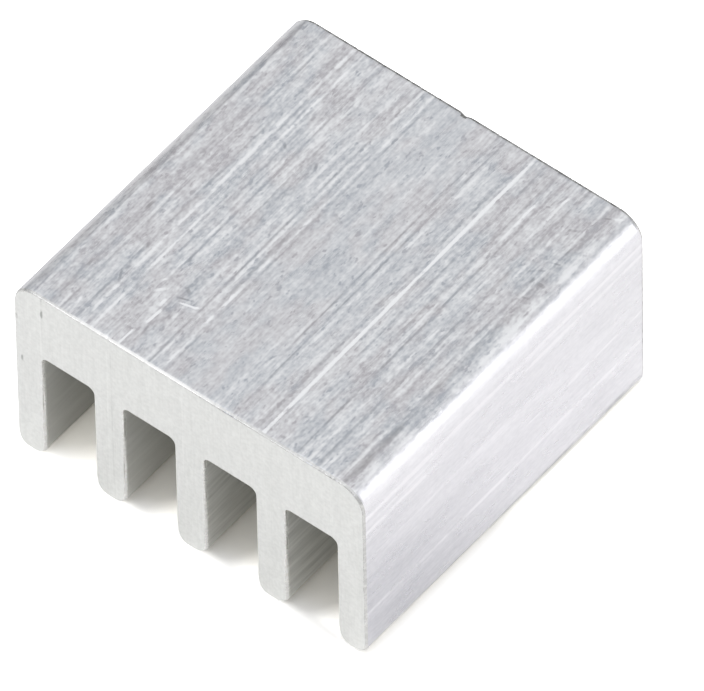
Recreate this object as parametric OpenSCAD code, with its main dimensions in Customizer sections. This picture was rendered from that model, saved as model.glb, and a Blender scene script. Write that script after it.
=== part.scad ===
// Small extruded aluminium heat sink.
// One piece: a bar of constant section, pushed through a die and sawn to length.
// It lies as it rests, fins down: X runs across the fins and Y along the extrusion,
// and the origin is at the centre of the footprint, under the fin tips.

/* [Heat sink] */
// Width across the fins
sink_w = 8.8; // [7:0.1:16]
// Length along the extrusion, from one sawn end to the other
sink_l = 8.8; // [4:0.1:60]
// Height from the fin tips to the mounting face
sink_h = 5; // [3.5:0.1:12]

/* [Base] */
// Thickness of the base, from the mounting face to the bottom of the channels
base_t = 1.9; // [1:0.1:2.8]
// Radius along the two long edges of the mounting face
edge_r = 0.6; // [0.1:0.05:0.9]

/* [Fins] */
// Number of fins, counting the two that make the sides
fin_count = 5; // [3:1:7]
// Thickness of each fin between the sides
fin_t = 0.75; // [0.5:0.05:1]
// Thickness of each side fin
side_fin_t = 0.7; // [0.5:0.05:1]
// Radius on each side of a fin's tip
tip_r = 0.3; // [0.1:0.05:0.35]
// Fillet radius where a fin meets the base
root_r = 0.15; // [0.05:0.05:0.25]

/* [Hidden] */
$fn = 64;
// A bar's corner radius is held to this share of its width, so that a flat is always left
round_limit = 0.48;
// Reach of a fin below the base, which is also the depth of a channel
fin_h = sink_h - base_t;
// Width of a channel: what the fins leave of the overall width, shared out evenly
channel_w = (sink_w - 2 * side_fin_t - (fin_count - 2) * fin_t) / (fin_count - 1);
// Left wall of channel i, counted from 0 at the left
function channel_x(i) = side_fin_t - sink_w / 2 + i * (channel_w + fin_t);

// Upright bar of width w, standing on y = 0, with its two lower corners rounded
module round_ended_bar(w, h, corner_r) {
    r = min(corner_r, round_limit * w);
    translate([-w / 2, r])
        square([w, h - r]);
    translate([r - w / 2, 0])
        square([w - 2 * r, h]);
    for (side = [-1, 1])
        translate([side * (w / 2 - r), r])
            circle(r = r);
}

// Base plate: a wide bar turned over, so that its rounded corners are at the mounting face
module base() {
    translate([0, sink_h])
        mirror([0, 1])
            round_ended_bar(sink_w, base_t, edge_r);
}

// One fin of thickness t: rounded at its tip, and sunk in the base up to where the edges round off
module fin(t) {
    round_ended_bar(t, sink_h - edge_r, tip_r);
}

// The row of fins: one at each side, and the others each on the left wall of a channel
module fins() {
    for (side = [-1, 1])
        translate([side * (sink_w - side_fin_t) / 2, 0])
            fin(side_fin_t);
    for (i = [1 : fin_count - 2])
        translate([channel_x(i) - fin_t / 2, 0])
            fin(fin_t);
}

// Fillet in the upper left corner of a channel, drawn about that corner:
// a block sunk in the fin and the base, with a quarter circle taken out of it
module root_fillet() {
    difference() {
        square(2 * root_r, center = true);
        translate([root_r, -root_r])
            circle(r = root_r);
    }
}

// Root fillets: one in each upper corner of each channel
module root_fillets() {
    for (i = [0 : fin_count - 2]) {
        translate([channel_x(i), fin_h])
            root_fillet();
        translate([channel_x(i) + channel_w, fin_h])
            mirror([1, 0])
                root_fillet();
    }
}

// Section of the extrusion, drawn in X and Y with the fin tips on y = 0
module section() {
    base();
    fins();
    root_fillets();
}

// The heat sink: the section stood upright and extruded along Y, half to each side of the origin
module heat_sink() {
    color("#c5c7ca")
        rotate([90, 0, 0])
            linear_extrude(height = sink_l, center = true)
                section();
}

heat_sink();
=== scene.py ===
# %% [markdown]
# # A small extruded heat sink
# The object is one piece of aluminium, about as wide as a fingernail. A hot, soft bar is pushed
# through a steel die, so every surface that runs along it is drawn straight and carries fine lines
# from the die. The long bar is then sawn into short pieces, which gives two plain, matt ends.
# This lesson makes that piece the way the workshop does: shape, cut, wear, and then the finishes.

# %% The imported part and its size
import math

import bmesh
import bpy
from mathutils import Matrix, Vector, noise


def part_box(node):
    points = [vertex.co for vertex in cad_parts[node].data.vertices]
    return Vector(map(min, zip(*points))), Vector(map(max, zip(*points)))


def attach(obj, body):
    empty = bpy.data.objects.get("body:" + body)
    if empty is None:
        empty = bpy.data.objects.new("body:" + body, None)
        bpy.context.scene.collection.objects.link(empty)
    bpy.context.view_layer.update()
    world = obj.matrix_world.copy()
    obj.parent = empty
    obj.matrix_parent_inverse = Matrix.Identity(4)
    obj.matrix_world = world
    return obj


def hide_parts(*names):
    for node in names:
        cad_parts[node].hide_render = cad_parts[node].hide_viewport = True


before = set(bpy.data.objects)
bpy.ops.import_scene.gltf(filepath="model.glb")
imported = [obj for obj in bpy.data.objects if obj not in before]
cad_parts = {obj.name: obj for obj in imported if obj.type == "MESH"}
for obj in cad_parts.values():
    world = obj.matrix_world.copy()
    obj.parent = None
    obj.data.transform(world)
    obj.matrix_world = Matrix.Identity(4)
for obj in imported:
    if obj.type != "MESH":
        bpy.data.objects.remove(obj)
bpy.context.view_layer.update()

MM = 0.001
low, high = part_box("heat_sink")
SINK_W, SINK_L, SINK_H = (high - low) / MM
print(f"The heat sink is {SINK_W:.2f} x {SINK_L:.2f} x {SINK_H:.2f} mm")

# %% [markdown]
# ## The camera
# A small part is best seen from far away through a long lens, so that its edges stay nearly
# parallel. The camera is given by where it stands (an azimuth and an elevation, as for a globe), by
# how far away it is, and by how much of the world its picture is wide at the part. The lens follows
# from these: a longer distance needs a longer lens for the same picture.

# %% Camera
AZIMUTH = math.radians(39.62)
ELEVATION = math.radians(50.96)
ROLL = math.radians(-1.17)
DISTANCE = 500 * MM
PICTURE_W = 13.90 * MM
AIM_RIGHT = 0.399 * MM
AIM_UP = 1.296 * MM
SENSOR_W = 36
CLIP_START = 100 * MM


def aim_camera():
    """Adds the camera, turned about its own line of sight by ROLL."""
    right = Vector((math.cos(AZIMUTH), math.sin(AZIMUTH), 0))
    back = Vector((math.sin(AZIMUTH) * math.cos(ELEVATION),
                   -math.cos(AZIMUTH) * math.cos(ELEVATION),
                   math.sin(ELEVATION)))
    up = back.cross(right)
    turn = Matrix((right, up, back)).transposed() @ Matrix.Rotation(ROLL, 3, "Z")
    right, up, back = turn.col
    camera_data = bpy.data.cameras.new("camera")
    camera_data.sensor_width = SENSOR_W
    camera_data.lens = SENSOR_W * DISTANCE / PICTURE_W
    camera_data.clip_start = CLIP_START
    camera = bpy.data.objects.new("camera", camera_data)
    place = right * AIM_RIGHT + up * AIM_UP + back * DISTANCE
    camera.matrix_world = Matrix.Translation(place) @ turn.to_4x4()
    bpy.context.scene.collection.objects.link(camera)
    bpy.context.scene.camera = camera
    print(f"The lens is {camera_data.lens:.0f} mm long")


aim_camera()

# %% [markdown]
# ## The bar
# The section is a thick base with five fins under it. It could be drawn as one outline, but a
# cutter's way is easier to follow: start from the base as a block, mark it where each fin's walls
# will be, and pull the strips between the marks down into fins. The work is done in millimetres,
# because Blender's mesh tools are least exact on very small numbers. The last step shrinks it to
# metres.

# %% Sizes of the section, in millimetres
BASE_T = 1.9
FIN_COUNT = 5
FIN_T = 0.75
SIDE_FIN_T = 0.7
EDGE_R = 0.6
TIP_R = 0.3
ROOT_R = 0.15

FIN_H = SINK_H - BASE_T
CHANNEL_W = (SINK_W - 2 * SIDE_FIN_T - (FIN_COUNT - 2) * FIN_T) / (FIN_COUNT - 1)
CHANNELS = [SIDE_FIN_T - SINK_W / 2 + i * (CHANNEL_W + FIN_T) for i in range(FIN_COUNT - 1)]
NEAR = 1e-4
SHARP, FLAT = math.radians(45), math.radians(1)
print(f"Each channel is {CHANNEL_W:.3f} mm wide and {FIN_H:.2f} mm deep")


# %% A block for the base
def cut(bar, place, normal):
    """Marks the whole mesh with new edges where a plane crosses it."""
    everything = [*bar.verts, *bar.edges, *bar.faces]
    bmesh.ops.bisect_plane(bar, geom=everything, dist=NEAR, plane_co=place, plane_no=normal)


def base_block():
    """The base: a cube stretched to size, hung from the mounting face."""
    bar = bmesh.new()
    bmesh.ops.create_cube(bar, size=1)
    bmesh.ops.scale(bar, vec=(SINK_W, SINK_L, BASE_T), verts=bar.verts)
    bmesh.ops.translate(bar, vec=(0, 0, SINK_H - BASE_T / 2), verts=bar.verts)
    return bar


bar = base_block()
print(f"The block has {len(bar.faces)} faces")


# %% Pull the fins down out of it
def in_a_channel(x):
    """True if x lies over one of the channels."""
    return any(start < x < start + CHANNEL_W for start in CHANNELS)


def pull_fins(bar):
    """Marks the walls of the channels and pulls the strips between them down."""
    for start in CHANNELS:
        cut(bar, (start, 0, 0), (1, 0, 0))
        cut(bar, (start + CHANNEL_W, 0, 0), (1, 0, 0))
    bar.normal_update()
    strips = [face for face in bar.faces
              if face.normal.z < -0.9 and not in_a_channel(face.calc_center_median().x)]
    pulled = bmesh.ops.extrude_face_region(bar, geom=strips)["geom"]
    tips = [item for item in pulled if isinstance(item, bmesh.types.BMVert)]
    bmesh.ops.translate(bar, vec=(0, 0, -FIN_H), verts=tips)
    bmesh.ops.delete(bar, geom=[face for face in strips if face.is_valid], context="FACES_ONLY")
    bmesh.ops.dissolve_limit(bar, angle_limit=FLAT, verts=bar.verts, edges=bar.edges)
    print(f"The sharp section has {len(bar.verts) // 2} corners")


pull_fins(bar)

# %% [markdown]
# ## Round the long edges
# A die has no perfectly sharp corners, so no edge that runs along the bar is sharp. Three radii are
# needed: a wide one at the mounting face, a smaller one on the fin tips, and a small fillet at the
# foot of each channel wall. Bevel with a profile of 0.5 gives true quarter circles on square
# corners, and it fills an inner corner just as it rounds an outer one.

# %% Round the long edges
EDGE_STEPS = 24
TIP_STEPS = 10
ROOT_STEPS = 6


def long_edges(bar, height):
    """The sharp edges that run along the bar at this height."""
    bar.normal_update()
    return [edge for edge in bar.edges
            if abs(edge.verts[0].co.y - edge.verts[1].co.y) > SINK_L / 2
            and abs(edge.verts[0].co.z - height) < NEAR
            and edge.calc_face_angle() > SHARP]


def round_long_edges(bar, height, radius, steps):
    """Turns the sharp long edges at this height into quarter circles."""
    edges = long_edges(bar, height)
    bmesh.ops.bevel(bar, geom=edges, offset=radius, offset_type="OFFSET", segments=steps,
                    profile=0.5, affect="EDGES", material=-1)
    print(f"{len(edges)} edges at {height:.1f} mm rounded to {radius} mm")


round_long_edges(bar, SINK_H, EDGE_R, EDGE_STEPS)
round_long_edges(bar, 0, TIP_R, TIP_STEPS)
round_long_edges(bar, FIN_H, ROOT_R, ROOT_STEPS)

# %% [markdown]
# ## A net to work on
# Every long face is still one strip, so nothing on it can be dented. Planes through the whole bar
# would also cross the round corners, and leave slivers where they just miss a corner's own lines.
# It is cleaner to divide each strip by itself: its two short ends get the same number of points, and
# Blender joins them. The two end faces have too many sides for that, so they are taken off first and
# filled again afterwards. Planes are used for the cuts across the bar only, closer near the ends.

# %% Divide the strips
TOP_NET = 0.02
SIDE_NET = 0.05
INNER_NET = 0.15


def net_of(face):
    """How far apart the lines of the net are: closest on the faces that show the most wear."""
    middle = face.calc_center_median()
    if abs(middle.z - SINK_H) < NEAR:
        return TOP_NET
    return SIDE_NET if abs(abs(middle.x) - SINK_W / 2) < NEAR else INNER_NET


def open_ends(bar):
    """Takes off the two end faces, so that the bar is a tube of strips."""
    bar.normal_update()
    ends = [face for face in bar.faces if abs(face.normal.y) > 0.5]
    bmesh.ops.delete(bar, geom=ends, context="FACES_ONLY")


def divide_strips(bar):
    """Divides each flat long face evenly into narrower strips."""
    ends_by_cuts = {}
    for face in bar.faces:
        ends = [edge for edge in face.edges
                if abs(edge.verts[0].co.y - edge.verts[1].co.y) < NEAR]
        cuts = round(ends[0].calc_length() / net_of(face)) - 1
        if cuts > 0:
            ends_by_cuts.setdefault(cuts, []).extend(ends)
    for cuts, ends in ends_by_cuts.items():
        bmesh.ops.subdivide_edges(bar, edges=ends, cuts=cuts, use_grid_fill=True)
    print(f"The section has {len(bar.faces)} strips")


open_ends(bar)
divide_strips(bar)

# %% Cut across, and close the ends
END_CUTS = (0.06, 0.12, 0.25, 0.5)
CROSS_NET = 0.4


def cut_across(bar):
    """Cuts the strips into short pieces with planes across the bar."""
    inner = SINK_L / 2 - END_CUTS[-1]
    count = round(2 * inner / CROSS_NET)
    places = [inner * (2 * i / count - 1) for i in range(1, count)]
    places += [side * (SINK_L / 2 - inset) for side in (-1, 1) for inset in END_CUTS]
    for y in places:
        cut(bar, (0, y, 0), (0, 1, 0))


def close_ends(bar):
    """Fills the two open ends, with one flat face each."""
    rims = [edge for edge in bar.edges if edge.is_boundary]
    ends = bmesh.ops.holes_fill(bar, edges=rims, sides=0)["faces"]
    print(f"{len(ends)} ends closed")


cut_across(bar)
close_ends(bar)
print(f"The net has {len(bar.faces)} faces")

# %% [markdown]
# ## Lines that the die has cut
# Grit in the die ploughs shallow grooves along the bar, and later rubbing burnishes pale lines into
# it. Most are left to the finish, where a bump does them well. The lines that the eye picks out are
# listed by where they are, because they belong to this one piece. A positive strength is a pale,
# burnished line, and a negative one is a groove that holds dirt. A few of them paint light and
# shade:
# the dark line at the very left edge and the dark band where the right round edge begins are painted
# reflections, the pale lines just beyond that band paint the soft edge of its highlight, and the
# dark line at the foot of the right side is painted shade. The list is used twice: the grooves are
# pressed into the shape, so that they also catch the light in a plain grey view, and the finish
# colours every line. Points are only pushed inwards, because the part must not grow. The bar was
# sawn very slightly askew, so the lines lean by a hundredth or two of their length.

# %% Where the marks are
# across, width, from, to, strength
TOP_MARKS = (
    # painted reflection: the first line is the dark outline of the left round edge
    (-4.34, 0.080, -5.0, 5.0, -0.8),
    (-4.18, 0.085, -5.0, 5.0, -0.2),
    (-3.98, 0.050, -4.6, 4.6, -0.4),
    (-3.90, 0.085, -4.6, 4.6, 0.5),
    (-3.52, 0.220, -4.6, 4.6, -0.3),
    (-3.35, 0.055, -4.6, 4.6, 0.3),
    (-3.28, 0.060, -4.6, 4.6, -0.4),
    (-3.10, 0.140, -4.6, 4.6, 0.2),
    (-2.92, 0.080, -4.6, 4.6, -0.4),
    (-2.75, 0.080, -4.4, 4.6, 0.65),
    (-2.67, 0.055, 0.5, 4.6, -0.4),
    (-2.51, 0.065, -4.3, 4.6, 0.75),
    (-2.40, 0.060, -2.4, 4.6, 0.3),
    (-2.31, 0.060, -2.4, 3.6, -0.3),
    (-2.21, 0.055, -2.0, 4.6, 0.25),
    (-2.10, 0.065, -2.4, 4.6, 0.6),
    (-2.03, 0.050, -2.2, 4.6, -0.4),
    (-1.90, 0.150, -2.4, 4.6, 0.45),
    (-1.93, 0.040, 0.2, 2.6, -0.3),
    (-1.73, 0.070, -1.2, 2.4, -0.4),
    (-1.58, 0.240, -3.6, 1.8, -0.3),
    (-1.36, 0.090, -4.6, 4.6, 0.35),
    (-1.15, 0.065, -4.6, 4.6, 0.35),
    (-1.07, 0.055, -4.6, 4.6, -0.5),
    (-1.00, 0.060, -4.2, 4.6, 0.5),
    (-0.92, 0.050, 0.2, 4.4, -0.3),
    (-0.86, 0.090, -2.3, 0.1, -0.5),
    (-0.77, 0.070, -4.3, 4.6, 0.65),
    (-0.68, 0.060, -4.6, 4.6, -0.35),
    (-0.34, 0.120, -4.6, 4.6, 0.2),
    (0.00, 0.100, -2.6, 2.6, 0.2),
    (0.34, 0.060, 0.4, 4.2, 0.3),
    (0.64, 0.070, -4.6, 4.6, 0.25),
    (0.82, 0.055, -4.6, 4.6, 0.3),
    (0.89, 0.055, -2.3, 4.6, -0.5),
    (0.97, 0.050, -2.3, 4.6, 0.4),
    (1.06, 0.060, -4.6, 4.6, -0.5),
    (1.17, 0.075, -2.6, 4.6, 0.5),
    (1.53, 0.060, -4.6, 4.6, 0.2),
    (1.63, 0.090, -4.6, 4.6, -0.4),
    (1.81, 0.078, -4.7, 4.2, 2.1),
    (2.09, 0.060, -2.2, 4.6, -0.4),
    (2.21, 0.110, -2.4, 2.8, 0.25),
    (2.39, 0.075, -4.6, 4.6, -0.4),
    (2.53, 0.075, -1.5, 4.6, 0.4),
    (2.51, 0.060, 2.4, 3.6, 0.5),
    (2.64, 0.060, -4.6, 4.6, -0.55),
    (2.78, 0.140, -4.6, 2.6, 0.2),
    (2.93, 0.065, -4.6, 4.6, 0.5),
    (3.15, 0.085, -4.6, 4.6, -0.45),
    (3.31, 0.070, -4.6, 4.6, 0.45),
    (3.43, 0.120, -2.4, 4.6, -0.2),
    (3.61, 0.055, -4.6, 4.6, -0.3),
    (3.70, 0.060, -4.6, 4.6, 0.4),
    # painted reflection: these two dark lines are the darker sky mirrored where the right round edge
    # begins
    (3.82, 0.190, -4.6, 4.6, -0.45),
    (3.86, 0.140, -4.7, -1.8, -0.3),
    # painted highlight: these three pale lines soften the edge of the white line on the right round
    # edge
    (4.08, 0.070, -4.6, 4.6, 0.35),
    (4.02, 0.150, -4.6, -3.2, 0.4),
    (4.05, 0.150, -1.8, 4.6, 0.3),
)

# height, width, from, to, strength
SIDE_MARKS = (
    (4.29, 0.12, -4.6, 4.6, 0.75),
    (3.95, 0.10, 0.6, 4.6, 0.5),
    (4.05, 0.06, -4.6, -2.0, 0.3),
    (3.83, 0.12, -4.6, -2.0, 0.6),
    (2.95, 0.10, -4.6, 1.2, 0.2),
    (2.23, 0.08, 0.6, 4.6, 0.45),
    (1.33, 0.10, -4.6, 4.6, 0.5),
    # painted shade: the dark line at the foot of the side, where it meets the paper
    (0.20, 0.20, -4.6, 4.6, -0.6),
)
FADE = 0.3
# a line is at its full strength within 0.2 of its width from its middle, and gone at 0.65
FULL, GONE = 0.2, 0.65
LEAN, SIDE_LEAN = 0.013, -0.018
SIDE_DEPTH = 0.15


def smooth(value, low, high):
    """0 below low, 1 above high, and a soft step between them."""
    share = min(max((value - low) / (high - low), 0), 1)
    return share * share * (3 - 2 * share)


def marks_at(across, along, marks):
    """The sum of the marks at a place on a face."""
    found = 0
    for middle, width, start, stop, strength in marks:
        line = 1 - smooth(abs(across - middle), FULL * width, GONE * width)
        if line > 0:
            after = smooth(along, stop - FADE, stop + FADE)
            ends = smooth(along, start - FADE, start + FADE) * (1 - after)
            found += strength * line * ends
    return found


def mark_of(place):
    """The marks at a point of the bar, on the mounting face or on the right side."""
    if place.z > SINK_H - EDGE_R + NEAR:
        return marks_at(place.x + LEAN * place.y, place.y, TOP_MARKS)
    if place.x > SINK_W / 2 - SIDE_DEPTH and place.z < SINK_H - EDGE_R:
        return marks_at(place.z + SIDE_LEAN * place.y, place.y, SIDE_MARKS)
    return 0


print(f"{len(TOP_MARKS)} marks on the mounting face and {len(SIDE_MARKS)} on the right side")

# %% Die lines in the shape
UNEVEN = 0.0022
UNEVEN_WAVE = 9.0
GROOVE = 0.003
TOP_SEED, SIDE_SEED = 0.3, 7.3


def die_depth(place, across, seed):
    """How deep the die has cut at a point, across millimetres along the section."""
    unevenness = 0.5 + 0.5 * noise.noise(Vector((across * UNEVEN_WAVE, seed, 0)))
    return UNEVEN * unevenness + GROOVE * abs(mark_of(place))


def draw_die_lines(bar):
    """Pushes the points of the outer faces in by the depth of the die's lines."""
    moved = 0
    for vert in bar.verts:
        x, y, z = vert.co
        if abs(z - SINK_H) < NEAR and abs(x) < SINK_W / 2 - EDGE_R - NEAR:
            vert.co.z -= die_depth(vert.co, x, TOP_SEED)
            moved += 1
        elif abs(abs(x) - SINK_W / 2) < NEAR and TIP_R + NEAR < z < SINK_H - EDGE_R - NEAR:
            side = math.copysign(1, x)
            vert.co.x -= side * die_depth(vert.co, z, SIDE_SEED * side)
            moved += 1
    print(f"{moved} points moved")


draw_die_lines(bar)

# %% [markdown]
# ## Break the sawn edges
# A saw leaves a sharp edge with a burr. It is knocked off in a drum of stones, which leaves a very
# narrow bright band round each end. The band is what tells the eye that the edge is metal.

# %% Break the sawn edges
BREAK_W = 0.03
BREAK_STEPS = 2
SQUARE_ON = 0.999


def is_sawn(face):
    """True for a face of one of the two sawn ends."""
    return abs(face.normal.y) > SQUARE_ON


def break_sawn_edges(bar):
    """Bevels the rim of both sawn ends."""
    bar.normal_update()
    rim = [edge for edge in bar.edges
           if is_sawn(edge.link_faces[0]) != is_sawn(edge.link_faces[1])]
    bmesh.ops.bevel(bar, geom=rim, offset=BREAK_W, offset_type="OFFSET", segments=BREAK_STEPS,
                    profile=0.5, affect="EDGES", material=-1)
    print(f"{len(rim)} short edges bevelled round the ends")


break_sawn_edges(bar)

# %% [markdown]
# ## Marks in the shape
# Nothing that comes off a saw or out of a drum is perfect. The edge break is wider in some places
# than in others, and a few knocks have left small dents in it. Each is a soft push on the points
# that are near it, so the net is what makes them possible.

# %% Uneven edge break and knocks
BREAK_LEAN = (0.05, 0.98)
# wave, size
BREAK_SWELL = ((0.9, 0.020), (4.5, 0.014))
# place, direction, radius, depth
KNOCKS = (
    ((0.95, -4.40, 5.0), (0, 0.5, -1.0), 0.12, 0.018),
    ((-2.05, -4.40, 5.0), (0, 0.5, -1.0), 0.09, 0.022),
    ((3.35, -4.40, 5.0), (0, 0.5, -1.0), 0.10, 0.030),
    ((3.62, -4.40, 5.0), (0, 0.5, -1.0), 0.10, 0.026),
    ((-0.05, 4.40, 5.0), (0, -0.6, -1.0), 0.16, 0.038),
    ((-4.20, 4.40, 5.0), (0.4, -0.6, -1.0), 0.14, 0.030),
    ((4.40, -4.40, 2.1), (-1.0, 0.5, 0), 0.12, 0.025),
)


def roughen_break(bar):
    """Moves the points of the edge break in a little, more in some places than in others."""
    bar.normal_update()
    for vert in bar.verts:
        if BREAK_LEAN[0] < abs(vert.normal.y) < BREAK_LEAN[1]:
            push = sum(size * (0.5 + 0.5 * noise.noise(vert.co * wave))
                       for wave, size in BREAK_SWELL)
            inwards = vert.normal.copy()
            if abs(vert.co.y) > SINK_L / 2 - NEAR:
                inwards.y = 0
            vert.co -= inwards.normalized() * push


def knock(bar, place, direction, radius, depth):
    """Dents the bar at a place: points within the radius are pushed, those at its middle most."""
    way = Vector(direction).normalized()
    for vert in bar.verts:
        nearness = 1 - (vert.co - Vector(place)).length / radius
        if nearness > 0:
            vert.co += way * depth * nearness * nearness * (3 - 2 * nearness)


roughen_break(bar)
for place, direction, radius, depth in KNOCKS:
    knock(bar, place, direction, radius, depth)
print(f"{len(KNOCKS)} knocks in the rims")

# %% [markdown]
# ## From net to object
# The bar is finished. Each point keeps how much of a mark it has, as an attribute that the finish
# can read. The bar is then shrunk from millimetres to metres, its normals are recalculated, and it
# takes the place of the plain solid in the frame. Weighted normals keep the flat faces flat in the
# shading: without them the light would seem to bend near each bevel.

# %% Make the object
DRAWN, SAWN, BROKEN = 0, 1, 2
SAWN_LEAN, BROKEN_LEAN = 0.9, 0.2
FACE_WEIGHT = 50


def finish_of(face):
    """Which of the three finishes a face takes, by how far it faces along the bar."""
    lean = abs(face.normal.y)
    if lean > SAWN_LEAN:
        return SAWN
    return BROKEN if lean > BROKEN_LEAN else DRAWN


def finish_bar(bar):
    """Writes the bar into a mesh object in metres, with each face indexed for the slot of its
    finish.
    """
    bmesh.ops.recalc_face_normals(bar, faces=bar.faces)
    for face in bar.faces:
        face.smooth = True
        face.material_index = finish_of(face)
    marks = bar.verts.layers.float.new("marks")
    for vert in bar.verts:
        vert[marks] = mark_of(vert.co)
    bmesh.ops.scale(bar, vec=(MM, MM, MM), verts=bar.verts)
    mesh = bpy.data.meshes.new("finned_bar")
    bar.to_mesh(mesh)
    bar.free()
    piece = bpy.data.objects.new("finned_bar", mesh)
    bpy.context.scene.collection.objects.link(piece)
    piece.modifiers.new("flat faces stay flat", "WEIGHTED_NORMAL").weight = FACE_WEIGHT
    return piece


finned_bar = finish_bar(bar)
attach(finned_bar, "root")
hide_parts("heat_sink")
print(f"The piece has {len(finned_bar.data.polygons)} faces")

# %% [markdown]
# ## The finishes
# Three finishes make this part: the drawn surfaces, the sawn ends and the broken edge between them.
# All are bare aluminium, so each is one metal shader whose colour, roughness and bump change over
# the surface. The patterns that more than one finish needs are node groups, built once.
# A small class keeps the node code short. Coordinates are the object's own, in millimetres, so that
# every size below is the size of the real mark.

# %% Node helpers
FLOAT, VECTOR = "NodeSocketFloat", "NodeSocketVector"
BUMP_STRENGTH = 0.5
BUMP_DEPTH = 0.006 * MM


class Nodes:
    """A node tree with short ways to add nodes and to link them."""

    def __init__(self, tree):
        self.tree = tree

    def add(self, kind, inputs=None, **settings):
        """Adds a node. Inputs maps a socket's name or number to a value or to another socket."""
        node = self.tree.nodes.new(kind)
        for name, value in settings.items():
            setattr(node, name, value)
        for key, value in (inputs or {}).items():
            self.put(value, node.inputs[key])
        return node

    def put(self, value, socket):
        """Links another socket to this one, or sets this one's value."""
        if isinstance(value, bpy.types.NodeSocket):
            self.tree.links.new(value, socket)
        else:
            socket.default_value = value

    def math(self, operation, *values):
        """A Math node's result."""
        return self.add("ShaderNodeMath", dict(enumerate(values)), operation=operation).outputs[0]

    def times(self, first, second):
        """The product of two values."""
        return self.math("MULTIPLY", first, second)

    def minus(self, first, second):
        """The first value less the second."""
        return self.math("SUBTRACT", first, second)

    def absolute(self, value):
        """A value without its sign."""
        return self.math("ABSOLUTE", value)

    def clamped(self, value):
        """A value held between 0 and 1."""
        return self.add("ShaderNodeClamp", {0: value}).outputs[0]

    def total(self, *terms):
        """The sum of several values."""
        result = terms[0]
        for term in terms[1:]:
            result = self.math("ADD", result, term)
        return result

    def ramp(self, value, low, high, to_low=0.0, to_high=1.0):
        """Value brought smoothly from low..high to to_low..to_high."""
        return self.add("ShaderNodeMapRange", {"Value": value, "From Min": low, "From Max": high,
                                               "To Min": to_low, "To Max": to_high},
                        interpolation_type="SMOOTHSTEP").outputs[0]

    def noise(self, vector, scale, detail=2.0, roughness=0.5):
        """Noise at this scale, mostly 0.3 to 0.7."""
        return self.add("ShaderNodeTexNoise", {"Vector": vector, "Scale": scale, "Detail": detail,
                                               "Roughness": roughness}).outputs[0]

    def stretched(self, vector, scale):
        """Vector with each of its axes multiplied."""
        return self.add("ShaderNodeVectorMath", {0: vector, 1: scale},
                        operation="MULTIPLY").outputs[0]

    def scaled(self, vector, factor):
        """Vector, or a colour, multiplied by one value."""
        return self.add("ShaderNodeVectorMath", {0: vector, "Scale": factor},
                        operation="SCALE").outputs[0]

    def own_place(self):
        """The object's own coordinates, in millimetres."""
        return self.scaled(self.add("ShaderNodeTexCoord").outputs["Object"], 1 / MM)

    def bumped(self, height):
        """A normal that follows this height."""
        return self.add("ShaderNodeBump", {"Strength": BUMP_STRENGTH, "Distance": BUMP_DEPTH,
                                           "Height": height}).outputs[0]

    def blend_value(self, factor, first, second):
        """A value between two values."""
        return self.add("ShaderNodeMix", {0: factor, 2: first, 3: second}).outputs[0]

    def parts(self, vector):
        """The X, Y and Z of a vector."""
        return self.add("ShaderNodeSeparateXYZ", {0: vector}).outputs

    def blend(self, factor, first, second):
        """A colour between two colours."""
        node = self.add("ShaderNodeMix", data_type="RGBA")
        self.put(factor, node.inputs[0])
        self.put(first, node.inputs[6])
        self.put(second, node.inputs[7])
        return node.outputs[2]

    def group(self, tree, **inputs):
        """The outputs of a node that uses a group, with its inputs by name."""
        node = self.add("ShaderNodeGroup", node_tree=tree)
        for label, value in inputs.items():
            self.put(value, node.inputs[label])
        return node.outputs


def new_group(name, inputs, outputs):
    """A shader node group: its nodes, its input sockets and the sockets that take its results."""
    tree = bpy.data.node_groups.new(name, "ShaderNodeTree")
    for label, (kind, value) in inputs.items():
        socket = tree.interface.new_socket(label, in_out="INPUT", socket_type=kind)
        if value is not None:
            socket.default_value = value
    for label in outputs:
        tree.interface.new_socket(label, in_out="OUTPUT", socket_type=FLOAT)
    nodes = Nodes(tree)
    return nodes, nodes.add("NodeGroupInput").outputs, nodes.add("NodeGroupOutput").inputs


print(f"A bump is {BUMP_DEPTH / MM:.3f} mm deep")

# %% [markdown]
# ## Pattern groups
# Drawn lines are noise that is stretched a lot along the bar. Three widths are mixed: hairlines,
# threads and broad bands. The metal's own skin has a fine grain, slower blotches and patches, and
# here and there a pit.
# A single mark is one line at a chosen place, with soft ends, that fades in and out along its way.
# It is placed one by one for each line that the eye would pick out.

# %% Drawn lines and grain
def drawn_lines():
    """Group: lines along Y. Hair, Thread and Band are noise values for three widths."""
    nodes, given, out = new_group("drawn lines", {"Vector": (VECTOR, None)},
                                  ("Hair", "Thread", "Band"))
    place = given["Vector"]
    nodes.put(nodes.noise(nodes.stretched(place, (20, 1.5, 20)), 1.0, 2.0, 0.6), out["Hair"])
    nodes.put(nodes.noise(nodes.stretched(place, (5.5, 0.5, 5.5)), 1.0, 2.0, 0.6), out["Thread"])
    nodes.put(nodes.noise(nodes.stretched(place, (1.3, 0.07, 1.3)), 1.0, 1.0, 0.5), out["Band"])
    return nodes.tree


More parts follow.
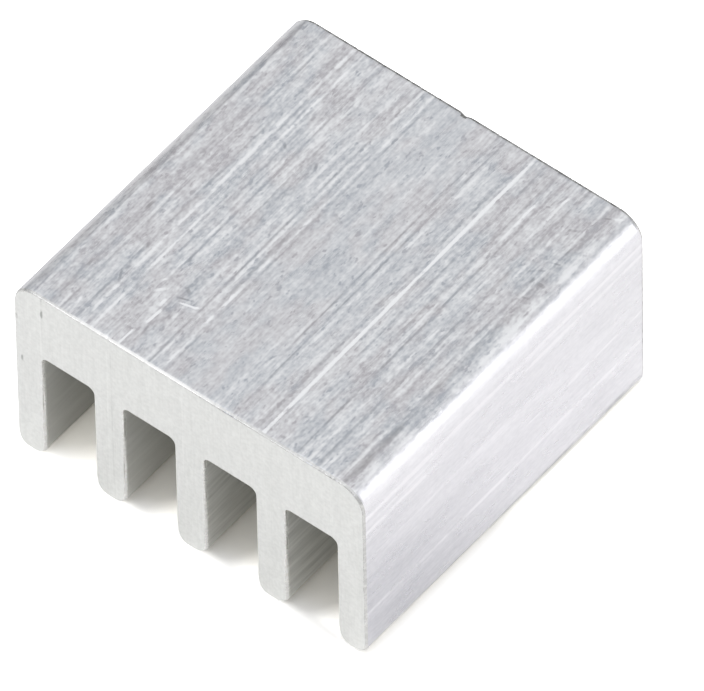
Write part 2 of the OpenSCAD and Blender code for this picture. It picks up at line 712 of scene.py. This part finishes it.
def metal_grain():
    """Group: the skin of the metal. Grain is fine, Cloud is slow, the rest go from 0 to 1."""
    nodes, given, out = new_group("metal grain", {"Vector": (VECTOR, None)},
                                  ("Grain", "Cloud", "Patches", "Tints", "Pits"))
    place = given["Vector"]
    nodes.put(nodes.noise(nodes.stretched(place, (1, 0.6, 1)), 12.0, 1.0, 0.6), out["Grain"])
    nodes.put(nodes.noise(nodes.stretched(place, (1, 0.45, 1)), 2.6, 3.0, 0.65), out["Cloud"])
    nodes.put(nodes.ramp(nodes.noise(place, 3.0, 2.0, 0.7), 0.42, 0.58), out["Patches"])
    tints = nodes.noise(nodes.stretched(place, (1.5, 0.7, 1.5)), 1.0, 2.0, 0.6)
    nodes.put(nodes.ramp(tints, 0.40, 0.60), out["Tints"])
    pits = nodes.noise(nodes.stretched(place, (8, 3.5, 8)), 1.0, 2.0, 0.6)
    nodes.put(nodes.ramp(pits, 0.60, 0.72), out["Pits"])
    return nodes.tree


def single_mark():
    """Group: one line along Y at X = At, from Y = From to Y = To, with ends that fade."""
    nodes, given, out = new_group("single mark", {
        "Vector": (VECTOR, None), "At": (FLOAT, 0.0), "Width": (FLOAT, 0.04),
        "From": (FLOAT, -5.0), "To": (FLOAT, 5.0), "Fade": (FLOAT, 0.3), "Strength": (FLOAT, 1.0)},
        ("Mark",))
    x, y, _ = nodes.parts(given["Vector"])
    width, fade = given["Width"], given["Fade"]
    aside = nodes.absolute(nodes.minus(x, given["At"]))
    line = nodes.ramp(aside, nodes.times(width, FULL), nodes.times(width, GONE), 1, 0)
    starts = nodes.ramp(y, nodes.minus(given["From"], fade), nodes.total(given["From"], fade))
    ends = nodes.ramp(y, nodes.minus(given["To"], fade), nodes.total(given["To"], fade), 1, 0)
    mark = nodes.times(nodes.times(line, starts), ends)
    nodes.put(nodes.times(mark, given["Strength"]), out["Mark"])
    return nodes.tree


DRAWN_LINES = drawn_lines()
METAL_GRAIN = metal_grain()
SINGLE_MARK = single_mark()
print("Groups:", [tree.name for tree in (DRAWN_LINES, METAL_GRAIN, SINGLE_MARK)])

# %% [markdown]
# ## Drawn finish
# The mounting face has been slid about on benches and in trays, so it is greyer and much more marked
# than the sides and the channels, which keep the soft look of the die. One material does both: how
# strong each pattern is depends on how near the place is to the mounting face. The long marks come
# with the mesh, and fade where blotches have worn them. The short scratches, most of them between
# the long lines, are placed here. The sides are painted greyer low down and near the front, a
# painted shade of the darker paper they mirror there. The channel walls were never rubbed, so they
# are duller and rougher, with plain streaks from the die, and their colour is darker and greener:
# painted shade inside the channels. The round edges took small knocks, which bend their light.

# %% Short scratches
SCRATCH_FADE = 0.1
WORN_CLOUD = (0.38, 0.62)
WORN_SHARE, KEPT_SHARE = 0.45, 1.15
# x, y, turn in degrees, length, width, strength
SCRATCHES = (
    (-1.655, -3.39, -4, 0.40, 0.065, 1.8),
    (-1.74, -3.00, 0, 0.15, 0.07, 1.6),
    (-1.77, -4.15, -2, 0.44, 0.045, 1.7),
    (-1.30, -2.77, -75, 0.34, 0.05, 1.2),
    (-1.13, -2.72, -55, 0.12, 0.07, 1.2),
    (-0.75, -2.77, 0, 0.16, 0.06, 1.0),
    (-0.76, -2.09, 20, 0.14, 0.06, 0.7),
    (-1.99, -2.80, -40, 0.18, 0.08, 0.8),
    (-2.07, -2.53, -30, 0.12, 0.06, 0.9),
    (-1.43, -2.68, -72, 0.30, 0.05, -0.55),
    (-1.41, -3.21, 0, 0.14, 0.09, -0.5),
    (-1.52, -2.48, 60, 0.18, 0.09, -0.45),
    (-1.58, -3.72, 10, 0.22, 0.06, -0.5),
    (-2.82, -2.99, 25, 0.26, 0.06, -0.6),
    (-3.49, -1.25, 0, 0.16, 0.07, -0.6),
    (-3.34, -0.78, 0, 0.14, 0.06, 0.6),
    (-2.87, -2.07, 30, 0.13, 0.07, -0.55),
    (-2.83, -2.74, 0, 0.12, 0.06, -0.5),
    (-1.99, -1.85, 20, 0.14, 0.07, -0.5),
    (-3.49, -3.11, 0, 0.14, 0.07, -0.55),
    (-3.07, -3.95, 10, 0.18, 0.06, 0.7),
    (-2.34, 1.55, 50, 0.14, 0.07, -0.6),
    (-1.52, 1.50, 20, 0.14, 0.07, -0.6),
    (-0.34, 0.74, 65, 0.30, 0.09, -0.35),
    (1.17, 3.60, 25, 0.20, 0.05, -0.5),
    (2.46, 3.18, 0, 0.30, 0.06, 1.1),
    (2.88, 3.87, -10, 0.20, 0.05, 0.8),
    (2.82, 3.83, -10, 0.20, 0.05, -0.5),
    (2.72, 3.66, -5, 0.22, 0.05, -0.45),
    (3.96, 4.13, -45, 0.22, 0.05, 0.8),
    (3.84, 4.03, -60, 0.20, 0.05, -0.6),
    (3.47, 3.37, -60, 0.20, 0.07, -0.45),
    (3.71, 2.87, 0, 0.20, 0.05, -0.6),
    (3.71, 2.49, -70, 0.13, 0.05, -0.6),
    (3.60, 2.19, -60, 0.13, 0.05, -0.5),
    (3.44, 2.05, -50, 0.14, 0.06, -0.4),
    (3.61, 1.88, 0, 0.12, 0.07, -0.9),
    (3.83, 1.89, 90, 0.15, 0.09, -0.6),
    (3.73, 1.44, -75, 0.20, 0.06, -0.4),
)


def scratches(nodes, vector):
    """The sum of the short scratches, each a mark in its own turned place."""
    found = []
    for x, y, turn, length, width, strength in SCRATCHES:
        turned = nodes.add("ShaderNodeMapping", {"Vector": vector, "Location": (x, y, 0),
                                                 "Rotation": (0, 0, math.radians(turn))},
                           vector_type="TEXTURE").outputs[0]
        found.append(nodes.group(SINGLE_MARK, Vector=turned, Width=width, From=-length / 2,
                                 To=length / 2, Fade=SCRATCH_FADE, Strength=strength)["Mark"])
    return nodes.total(*found)


def drawn_marks(nodes, place, rubbed, cloud):
    """All marks: the long ones, worn away here and there, and the short ones where rubbed."""
    long_marks = nodes.add("ShaderNodeAttribute", attribute_name="marks").outputs["Fac"]
    worn = nodes.ramp(cloud, *WORN_CLOUD, WORN_SHARE, KEPT_SHARE)
    return nodes.total(nodes.times(long_marks, worn), nodes.times(scratches(nodes, place), rubbed))


print(f"{len(TOP_MARKS) + len(SIDE_MARKS)} long marks and {len(SCRATCHES)} short scratches")

# %% Where the drawn surfaces are rubbed, inside or round
RUBBED_Z = (SINK_H - 0.25, SINK_H - 0.02)
INSIDE_X = (SINK_W / 2 - 0.04, SINK_W / 2 - 0.02)
INSIDE_Z = (SINK_H - EDGE_R - 0.2, SINK_H - EDGE_R - 0.1)
ROUND_X = (SINK_W / 2 - EDGE_R, SINK_W / 2 - 0.7 * EDGE_R)
ROUND_Z = (SINK_H - EDGE_R, SINK_H - 0.7 * EDGE_R)


def drawn_masks(nodes, x, z):
    """1 on the mounting face, 1 inside the channels, and 1 on the round edges."""
    aside = nodes.absolute(x)
    rubbed = nodes.ramp(z, *RUBBED_Z)
    inside = nodes.times(nodes.ramp(aside, *INSIDE_X, 1, 0), nodes.ramp(z, *INSIDE_Z, 1, 0))
    round_edge = nodes.times(nodes.ramp(aside, *ROUND_X), nodes.ramp(z, *ROUND_Z))
    return rubbed, inside, round_edge


print(f"The rubbed skin begins {SINK_H - RUBBED_Z[0]:.2f} mm below the mounting face")

# %% Patterns of the drawn surfaces
CALM_X = 0.2
CALM, BUSY = 0.82, 1.1
# noise, strength where rubbed, strength elsewhere
SKIN = (
    ("Hair", 1.0, 0.3),
    ("Thread", 0.7, 0.35),
    ("Band", 0.2, 0.25),
    ("Grain", 1.2, 0.3),
    ("Cloud", 1.2, 0.25),
)
STREAKS = (
    ("Hair", 0, 0.35),
    ("Thread", 0, 0.75),
)


def skin_noises(nodes, place, along):
    """All the noise values by name. The lines run along Y of the second place."""
    lines = nodes.group(DRAWN_LINES, Vector=along)
    grain = nodes.group(METAL_GRAIN, Vector=place)
    return {socket.name: socket for socket in (*lines, *grain)}


def mixed(nodes, noises, rubbed, x, strengths):
    """A sum of noises about zero, calmer near the middle of the mounting face."""
    busy = nodes.ramp(nodes.absolute(nodes.minus(x, CALM_X)), 0.3, 1.8, CALM, BUSY)
    terms = []
    for name, rubbed_strength, clean_strength in strengths:
        strength = nodes.blend_value(rubbed, clean_strength, nodes.times(busy, rubbed_strength))
        terms.append(nodes.times(nodes.minus(noises[name], 0.5), strength))
    return nodes.total(*terms)


print("The rubbed skin mixes", ", ".join(name for name, *_ in SKIN))

# %% Colours of the drawn surfaces
COOL_SHADE, WARM_SHADE = (0.545, 0.57, 0.61, 1), (0.60, 0.58, 0.60, 1)
CLEAN_SHADE, CLEAN_BRIGHT = (0.578, 0.578, 0.612, 1), (0.98, 0.97, 1.0, 1)
RUBBED_BRIGHT = (0.99, 0.995, 1.0, 1)
# dirt in the grooves, and painted shade in the dark lines along the edges
GROOVE_DIRT_AND_EDGE_SHADE, GROOVE_DARK_SHARE = (0.26, 0.255, 0.25, 1), 0.35
# the streak colours are darker and greener than the outer ones: painted shade inside the channels
DARK_STREAK, PALE_STREAK = (0.52, 0.52, 0.49, 1), (0.93, 0.93, 0.90, 1)
# the tone low down at the front of the sides is a painted shade
RUBBED_TONE, CLEAN_TONE, LOW_FRONT_SHADE_TONE = 0.50, 0.74, 0.15
PIT_STRENGTH, MARK_STRENGTH = -0.6, 0.7
PLAIN_STREAKS_X = (-2, 1.5)


def drawn_tone(nodes, y, z, rubbed, pits, skin, marks):
    """How bright the metal is: 0 for its shade, 1 for its bright colour."""
    # painted shade: the sides are greyer low down and near the front, where they mirror darker paper
    low_front_shade = nodes.times(nodes.ramp(nodes.total(y, z), -5.0, 4.5, 1, 0),
                          nodes.ramp(z, 2.0, 5.0, 1, 0.45))
    clean = nodes.ramp(low_front_shade, 0, 1, CLEAN_TONE, LOW_FRONT_SHADE_TONE)
    return nodes.total(nodes.blend_value(rubbed, clean, RUBBED_TONE), skin,
                       nodes.times(nodes.times(pits, rubbed), PIT_STRENGTH),
                       nodes.times(marks, MARK_STRENGTH))


def drawn_colour(nodes, tone, rubbed, marks, tints):
    """The colour of the outer surfaces, darker in the deepest grooves: dirt in most, and painted
    shade in the dark lines along the edges.
    """
    shade = nodes.blend(rubbed, CLEAN_SHADE, nodes.blend(tints, COOL_SHADE, WARM_SHADE))
    bright = nodes.blend(rubbed, CLEAN_BRIGHT, RUBBED_BRIGHT)
    # darker grooves: dirt, and painted shade in the dark lines along the edges
    dirt = nodes.ramp(marks, -0.9, -0.1, GROOVE_DARK_SHARE, 0)
    return nodes.blend(dirt, nodes.blend(nodes.clamped(tone), shade, bright), GROOVE_DIRT_AND_EDGE_SHADE)


def shaded_wall_colour(nodes, x, streaks):
    """The colour inside the channels: darker and greener than outside, a painted shade of the
    channels, with streaks that are plainer in the right ones.
    """
    streaks = nodes.times(streaks, nodes.ramp(x, *PLAIN_STREAKS_X, 0.3, 1))
    return nodes.blend(nodes.ramp(streaks, -0.5, 0.5), DARK_STREAK, PALE_STREAK)


print(f"A pale mark adds {MARK_STRENGTH} of its strength to a rubbed tone of {RUBBED_TONE}")

# %% Drawn finish
SMOOTHEST, ROUGHEST = 0.26, 0.34
BURNISHED_ROUGHER, INSIDE_ROUGHER = 0.2, 0.35
BURNISHED_LESS_METAL = 0.85
DENTS_IN_FRONT, DENTS_BEHIND = 3.2, 1.0


def new_material(name):
    """A metal: the material, its nodes, its shader, and a place on it in millimetres."""
    material = bpy.data.materials.new(name)
    material.use_nodes = True
    nodes = Nodes(material.node_tree)
    shader = material.node_tree.nodes["Principled BSDF"]
    shader.inputs["Metallic"].default_value = 1.0
    return material, nodes, shader, nodes.own_place()


def drawn_finish():
    """The surfaces that the die has drawn, rubbed at the mounting face and clean elsewhere."""
    material, nodes, shader, place = new_material("drawn aluminium")
    noises = skin_noises(nodes, place, place)
    cloud = noises["Cloud"]
    x, y, z = nodes.parts(place)
    rubbed, inside, round_edge = drawn_masks(nodes, x, z)
    marks = drawn_marks(nodes, place, rubbed, cloud)
    skin = mixed(nodes, noises, rubbed, x, SKIN)
    streaks = mixed(nodes, noises, rubbed, x, STREAKS)
    tone = drawn_tone(nodes, y, z, rubbed, noises["Pits"], skin, marks)
    outer = drawn_colour(nodes, tone, rubbed, marks, noises["Tints"])
    # inside the channels the colour carries a painted shade
    nodes.put(nodes.blend(inside, outer, shaded_wall_colour(nodes, x, streaks)),
              shader.inputs["Base Color"])
    burnished = nodes.times(nodes.ramp(marks, 0.1, 1.0), rubbed)
    nodes.put(nodes.minus(1.0, nodes.times(burnished, BURNISHED_LESS_METAL)),
              shader.inputs["Metallic"])
    nodes.put(nodes.total(nodes.ramp(cloud, 0.3, 0.7, SMOOTHEST, ROUGHEST),
                          nodes.times(burnished, BURNISHED_ROUGHER),
                          nodes.times(inside, INSIDE_ROUGHER)), shader.inputs["Roughness"])
    dents = nodes.times(nodes.times(cloud, round_edge),
                        nodes.ramp(y, -2.5, 2.0, DENTS_IN_FRONT, DENTS_BEHIND))
    nodes.put(nodes.bumped(nodes.total(skin, dents)), shader.inputs["Normal"])
    return material


def give(finish):
    """Gives the piece this finish as its next material slot."""
    finned_bar.data.materials.append(finish)
    print(f"Slot {len(finned_bar.data.materials) - 1} is {finish.name}, "
          f"with {len(finish.node_tree.nodes)} nodes")


give(drawn_finish())

# %% [markdown]
# ## Sawn finish
# The two ends are cut with a fine saw. Its teeth leave faint parallel lines, which here run up the
# face, and a matt skin. A matt metal spreads the light of the whole room, so it looks paler and
# warmer than the drawn faces. The front has a few small spots of dirt on the left. All of it is the
# same noise as on the drawn faces, turned so that its lines stand up. The ends are also painted
# paler towards the top: painted light, where their lower part mirrors the shade on the paper.

# %% Sawn finish
END_FADE = 0.08
# across, width, from, to, strength: these lines run up the front end
END_MARKS = (
    (-3.69, 0.08, 4.38, 4.64, -1.0),
    (-3.69, 0.08, 4.83, 5.05, -0.85),
    (-3.70, 0.05, 3.6, 5.0, -0.35),
    (-3.72, 0.05, 0.4, 5.2, 0.35),
    (-4.22, 0.07, 2.66, 2.86, -0.8),
    (-4.33, 0.06, 3.88, 4.06, -0.7),
    (-2.05, 0.04, 0.5, 4.6, 0.25),
    (-1.95, 0.04, 0.5, 4.6, -0.4),
    (-0.15, 0.03, 2.2, 4.6, 0.35),
    (1.30, 0.03, 3.2, 4.9, 0.3),
)
SAWN_SHADE, SAWN_BRIGHT = (0.745, 0.75, 0.735, 1), (0.885, 0.89, 0.875, 1)
SPOT_DIRT, SPOT_DIRT_SHARE = (0.30, 0.30, 0.29, 1), 0.6
END_MARK_STRENGTH = 0.8
# painted light: the ends are made paler towards the top
PAINTED_LIGHT_AT_TOP = 0.15
# noise, strength
SAWN_SKIN = (
    ("Hair", 0.30),
    ("Thread", 0.25),
    ("Grain", 0.45),
    ("Cloud", 0.30),
)


def end_marks(nodes, vector):
    """The sum of the marks on the front end."""
    return nodes.total(*[
        nodes.group(SINGLE_MARK, Vector=vector, At=across, Width=width, From=start, To=stop,
                    Fade=END_FADE, Strength=strength)["Mark"]
        for across, width, start, stop, strength in END_MARKS])


def sawn_finish():
    """The sawn ends: matt, slightly warm, with faint saw lines that run up them."""
    material, nodes, shader, place = new_material("sawn end")
    x, y, z = nodes.parts(place)
    upright = nodes.add("ShaderNodeCombineXYZ", {0: x, 1: z, 2: y}).outputs[0]
    noises = skin_noises(nodes, place, upright)
    in_front = nodes.ramp(y, -1, 1, 1, 0)
    patchy = nodes.ramp(noises["Patches"], 0, 1, 0.5, 1)
    marks = nodes.times(end_marks(nodes, upright), nodes.times(patchy, in_front))
    skin = nodes.total(*[nodes.times(noises[name], strength) for name, strength in SAWN_SKIN])
    # the rise with height is painted light
    tone = nodes.total(nodes.ramp(skin, 0.3, 1.0), nodes.times(marks, END_MARK_STRENGTH),
                       nodes.ramp(z, 1.0, 4.5, 0, PAINTED_LIGHT_AT_TOP))
    metal = nodes.blend(nodes.clamped(tone), SAWN_SHADE, SAWN_BRIGHT)
    dirt = nodes.ramp(marks, -1.0, -0.3, SPOT_DIRT_SHARE, 0)
    nodes.put(nodes.blend(dirt, metal, SPOT_DIRT), shader.inputs["Base Color"])
    nodes.put(nodes.ramp(noises["Cloud"], 0.3, 0.7, 0.52, 0.62), shader.inputs["Roughness"])
    nodes.put(nodes.bumped(skin), shader.inputs["Normal"])
    return material


give(sawn_finish())

# %% [markdown]
# ## Broken edge
# The narrow rim round each end has been rubbed bright, most of all left of the middle of the front,
# where it is the palest thing on the part. The rim at the back is drawn darker grey, except at its
# right corner. It is so narrow that its colour says more than any pattern on it could.

# %% Broken edge
FRESH_DULL, FRESH_BRIGHT = (0.60, 0.60, 0.59, 1), (0.99, 0.985, 0.97, 1)
BACK_RIM_DARK, BACK_RIM_GREY = (0.26, 0.26, 0.25, 1), (0.55, 0.55, 0.54, 1)
MOST_RUBBED_X = -1.2


def freshness(nodes, x, z, grain):
    """How bright the rim is rubbed: along the mounting face and, less, round the channels."""
    aside = nodes.absolute(nodes.minus(x, MOST_RUBBED_X))
    most_rubbed = nodes.ramp(aside, 0.8, 2.8, 0.85, 0.2)
    mouths = nodes.times(nodes.ramp(nodes.absolute(x), 4.1, 4.2, 0.5, 0),
                         nodes.ramp(z, 3.2, 3.5, 1, 0))
    return nodes.total(mouths, nodes.ramp(grain, 0.35, 0.65, 0, 0.25),
                       nodes.times(nodes.ramp(z, SINK_H - EDGE_R, SINK_H), most_rubbed))


def back_rim_darkness(nodes, x, y, z):
    """1 where the rim is drawn darker: at the back, but not at its right corner."""
    corner = nodes.times(nodes.ramp(x, SINK_W / 2 - EDGE_R, SINK_W / 2 - EDGE_R / 2),
                         nodes.ramp(z, SINK_H - 1.5 * EDGE_R, SINK_H - EDGE_R))
    return nodes.times(nodes.ramp(y, -1, 1), nodes.minus(1.0, corner))


def broken_finish():
    """The narrow rim of each end: rubbed bright in front, and darker grey at the back."""
    material, nodes, shader, place = new_material("broken edge")
    grain = nodes.group(METAL_GRAIN, Vector=place)
    x, y, z = nodes.parts(place)
    rubbed = nodes.blend(freshness(nodes, x, z, grain["Grain"]), FRESH_DULL, FRESH_BRIGHT)
    darker_back = nodes.blend(nodes.ramp(grain["Grain"], 0.35, 0.6), BACK_RIM_DARK, BACK_RIM_GREY)
    nodes.put(nodes.blend(back_rim_darkness(nodes, x, y, z), rubbed, darker_back), shader.inputs["Base Color"])
    nodes.put(nodes.ramp(grain["Cloud"], 0.3, 0.7, 0.2, 0.34), shader.inputs["Roughness"])
    return material


give(broken_finish())

# %% [markdown]
# ## The floor
# The part stands on its fins on white paper. In the picture the paper has to be pure white, with
# only the deep, warm shade between the fins left. More light would burn out the metal as well, so it
# is the paper's own colour that is raised, and only for rays that come from the camera or from the
# metal. Each gain depends on how far outside the part's own outline the place is. Under the part the
# paper is hardly raised and is tinted warm, which paints a deep, warm shade there. In each channel
# this painted shade reaches furthest out at the foot of the left wall and slopes back from there,
# and in the left channel it is paler. Beside the front half of the right side a faint painted shadow
# lies on the paper. The metal sees the paper to its left a little darker, with a grey strip in it:
# that draws the thin dark line of the left edge, as a grey card does in a studio. Just round the
# part the metal sees the paper raised more, which paints out the shade there in its reflections, and
# under the part not raised at all, a painted deeper shade in the channel walls.

# %% What the camera sees of the paper
SEEN_GAIN = 3.0
SHADED_SEEN_GAIN = 1.3
LEFT_SHADED_SEEN_GAIN = 1.95
SHADE_FROM, SHADE_TO = -0.75, 0.5
SHADE_LEAN = 0.07
WALL_SHADE = 0.45
SHADE_SLOPE = 1.1
SIDE_SHADE = 0.4
SIDE_SHADE_Y = (-0.5, 1.5)
LEFT_CHANNEL_X = (-2.4, -1.7)


def channel_slope(nodes, x, outside):
    """How much further out the painted shade reaches at this place across a channel."""
    pitch = CHANNEL_W + FIN_T
    across = nodes.math("FLOORED_MODULO", nodes.minus(x, CHANNELS[0]), pitch)
    from_wall = nodes.math("MINIMUM", across, nodes.ramp(across, CHANNEL_W, pitch, CHANNEL_W, 0))
    reach = nodes.ramp(from_wall, 0, CHANNEL_W, WALL_SHADE, WALL_SHADE - SHADE_SLOPE * CHANNEL_W)
    return nodes.times(reach, nodes.ramp(outside, -0.25, 0, 1, 0))


def seen_gain(nodes, x, y, outside):
    """What the paper's colour gains for the camera, beyond 1."""
    under = nodes.total(nodes.times(x, SHADE_LEAN), channel_slope(nodes, x, outside))
    # painted shadow: the paper beside the front half of the right side is raised less
    beside = nodes.ramp(y, *SIDE_SHADE_Y, SIDE_SHADE, 0)
    reach = nodes.blend_value(nodes.ramp(x, SINK_W / 2 - 0.1, SINK_W / 2), under, beside)
    shaded = nodes.ramp(x, *LEFT_CHANNEL_X, LEFT_SHADED_SEEN_GAIN - 1, SHADED_SEEN_GAIN - 1)
    return nodes.ramp(nodes.minus(outside, reach), SHADE_FROM, SHADE_TO, shaded, SEEN_GAIN - 1)


print(f"The paper is raised {SEEN_GAIN} times in the open and {SHADED_SEEN_GAIN} times in the shade")

# %% What the metal sees of the paper
MIRRORED_GAIN = 1.335
NEAR_MIRRORED_GAIN = 1.51
SHADED_MIRRORED_GAIN = 1.0
LEFT_MIRRORED_SHARE = 0.8
GREY_CARD_SHARE = 0.25
GREY_CARD_X = -7.0
CARD_CORNER = -8.0


def mirrored_gain(nodes, x, y, outside):
    """What the paper's colour gains for the metal, beyond 1."""
    # painted reflection: just round the part the paper is raised more, so the metal mirrors no shade
    # there, and under it not at all, so the channel walls mirror a deeper shade
    near = nodes.ramp(outside, -0.6, 0, SHADED_MIRRORED_GAIN - 1, NEAR_MIRRORED_GAIN - 1)
    # the darker paper and the card lie to the left, but not in front
    left_behind = nodes.math("MAXIMUM", x, nodes.minus(CARD_CORNER, y))
    left_gain = LEFT_MIRRORED_SHARE * MIRRORED_GAIN
    far = nodes.ramp(left_behind, -9, -5.5, left_gain - 1, MIRRORED_GAIN - 1)
    from_card = nodes.absolute(nodes.minus(left_behind, GREY_CARD_X))
    card = nodes.ramp(from_card, 0.6, 2.0, GREY_CARD_SHARE * MIRRORED_GAIN, 0)
    return nodes.ramp(outside, 0, 2.5, near, nodes.minus(far, card))


print(f"The metal sees the paper {MIRRORED_GAIN} times as bright as it is")

# %% Floor
FLOOR_W = 400 * MM
PAPER = (0.86, 0.85, 0.835, 1)
SHADED_PAPER = (0.86, 0.835, 0.785, 1)


def paper_colour(nodes):
    """The paper's colour, raised for rays that come from the camera or from the metal."""
    x, y, _ = nodes.parts(nodes.own_place())
    outside = nodes.math("MAXIMUM", nodes.minus(nodes.absolute(x), SINK_W / 2),
                         nodes.minus(nodes.absolute(y), SINK_L / 2))
    path = nodes.add("ShaderNodeLightPath").outputs
    gain = nodes.total(1.0, nodes.times(path["Is Camera Ray"], seen_gain(nodes, x, y, outside)),
                       nodes.times(path["Is Glossy Ray"], mirrored_gain(nodes, x, y, outside)))
    # the warm tint under the part is painted shade
    tint = nodes.blend(nodes.ramp(outside, SHADE_FROM, 0), SHADED_PAPER, PAPER)
    return nodes.scaled(tint, gain)


def white_paper():
    """A matt white material that is clear from below."""
    material = bpy.data.materials.new("white paper")
    material.use_nodes = True
    nodes = Nodes(material.node_tree)
    nodes.tree.nodes.remove(nodes.tree.nodes["Principled BSDF"])
    paper = nodes.add("ShaderNodeBsdfDiffuse", {"Color": paper_colour(nodes)})
    below = nodes.add("ShaderNodeNewGeometry").outputs["Backfacing"]
    glass = nodes.add("ShaderNodeBsdfTransparent")
    both = nodes.add("ShaderNodeMixShader", {0: below, 1: paper.outputs[0], 2: glass.outputs[0]})
    nodes.put(both.outputs[0], nodes.tree.nodes["Material Output"].inputs["Surface"])
    return material


def make_floor():
    """A wide white floor, level with the fin tips."""
    net = bmesh.new()
    bmesh.ops.create_grid(net, size=FLOOR_W / 2)
    mesh = bpy.data.meshes.new("floor")
    net.to_mesh(mesh)
    net.free()
    floor = bpy.data.objects.new("floor", mesh)
    bpy.context.scene.collection.objects.link(floor)
    mesh.materials.append(white_paper())
    print(f"The floor is {floor.dimensions.x / MM:.0f} mm wide")


make_floor()

# %% [markdown]
# ## Light
# Metal shows what is round it, so the light is chosen by what each face looks at. The mounting face
# looks up, at a soft grey sky. The round edge on the right looks at a bright window low on that
# side: the smaller the window, the narrower the white line along that edge. The broken edge at the
# front looks at a small white card. The ends and the sides look down at the white paper.

# %% Lamps
def softbox(name, direction, distance, size, radiance):
    """A square area lamp that shines at the part from that direction."""
    lamp = bpy.data.lights.new(name, "AREA")
    lamp.shape = "SQUARE"
    lamp.size = size
    lamp.energy = radiance * math.pi * size * size
    box = bpy.data.objects.new(name, lamp)
    away = Vector(direction).normalized()
    turn = away.to_track_quat("Z", "Y").to_matrix().to_4x4()
    box.matrix_world = Matrix.Translation(away * distance) @ turn
    box.visible_camera = False
    bpy.context.scene.collection.objects.link(box)
    print(f"The {name} gives {lamp.energy:.4f} W")


softbox("right window", (0.80, 0.45, 0.24), 250 * MM, 160 * MM, 0.80)
softbox("front card", (-0.40, -0.78, 0.48), 300 * MM, 130 * MM, 1.75)

# %% Sky
HORIZON = 0.5
SKY_BEHIND = 0.76
SKY_IN_FRONT = 1.0
SKY_TINT = (0.985, 0.995, 1.015, 1)
WHITE = (1, 1, 1, 1)


def make_world():
    """A sky that is greyer behind the part and at the horizon. It shows white to the camera."""
    world = bpy.data.worlds.new("studio")
    world.use_nodes = True
    nodes = Nodes(world.node_tree)
    background = world.node_tree.nodes["Background"]
    _, y, z = nodes.parts(nodes.add("ShaderNodeTexCoord").outputs["Generated"])
    high = nodes.ramp(y, -0.3, 0.35, SKY_IN_FRONT, SKY_BEHIND)
    sky = nodes.ramp(z, 0.1, 0.75, HORIZON, high)
    camera_ray = nodes.add("ShaderNodeLightPath").outputs["Is Camera Ray"]
    nodes.put(nodes.math("MAXIMUM", camera_ray, sky), background.inputs["Strength"])
    nodes.put(nodes.blend(camera_ray, SKY_TINT, WHITE), background.inputs["Color"])
    bpy.context.scene.world = world


make_world()
bpy.context.scene.view_settings.view_transform = "Standard"
print(f"The sky goes from {HORIZON} at the horizon to {SKY_IN_FRONT} in front")
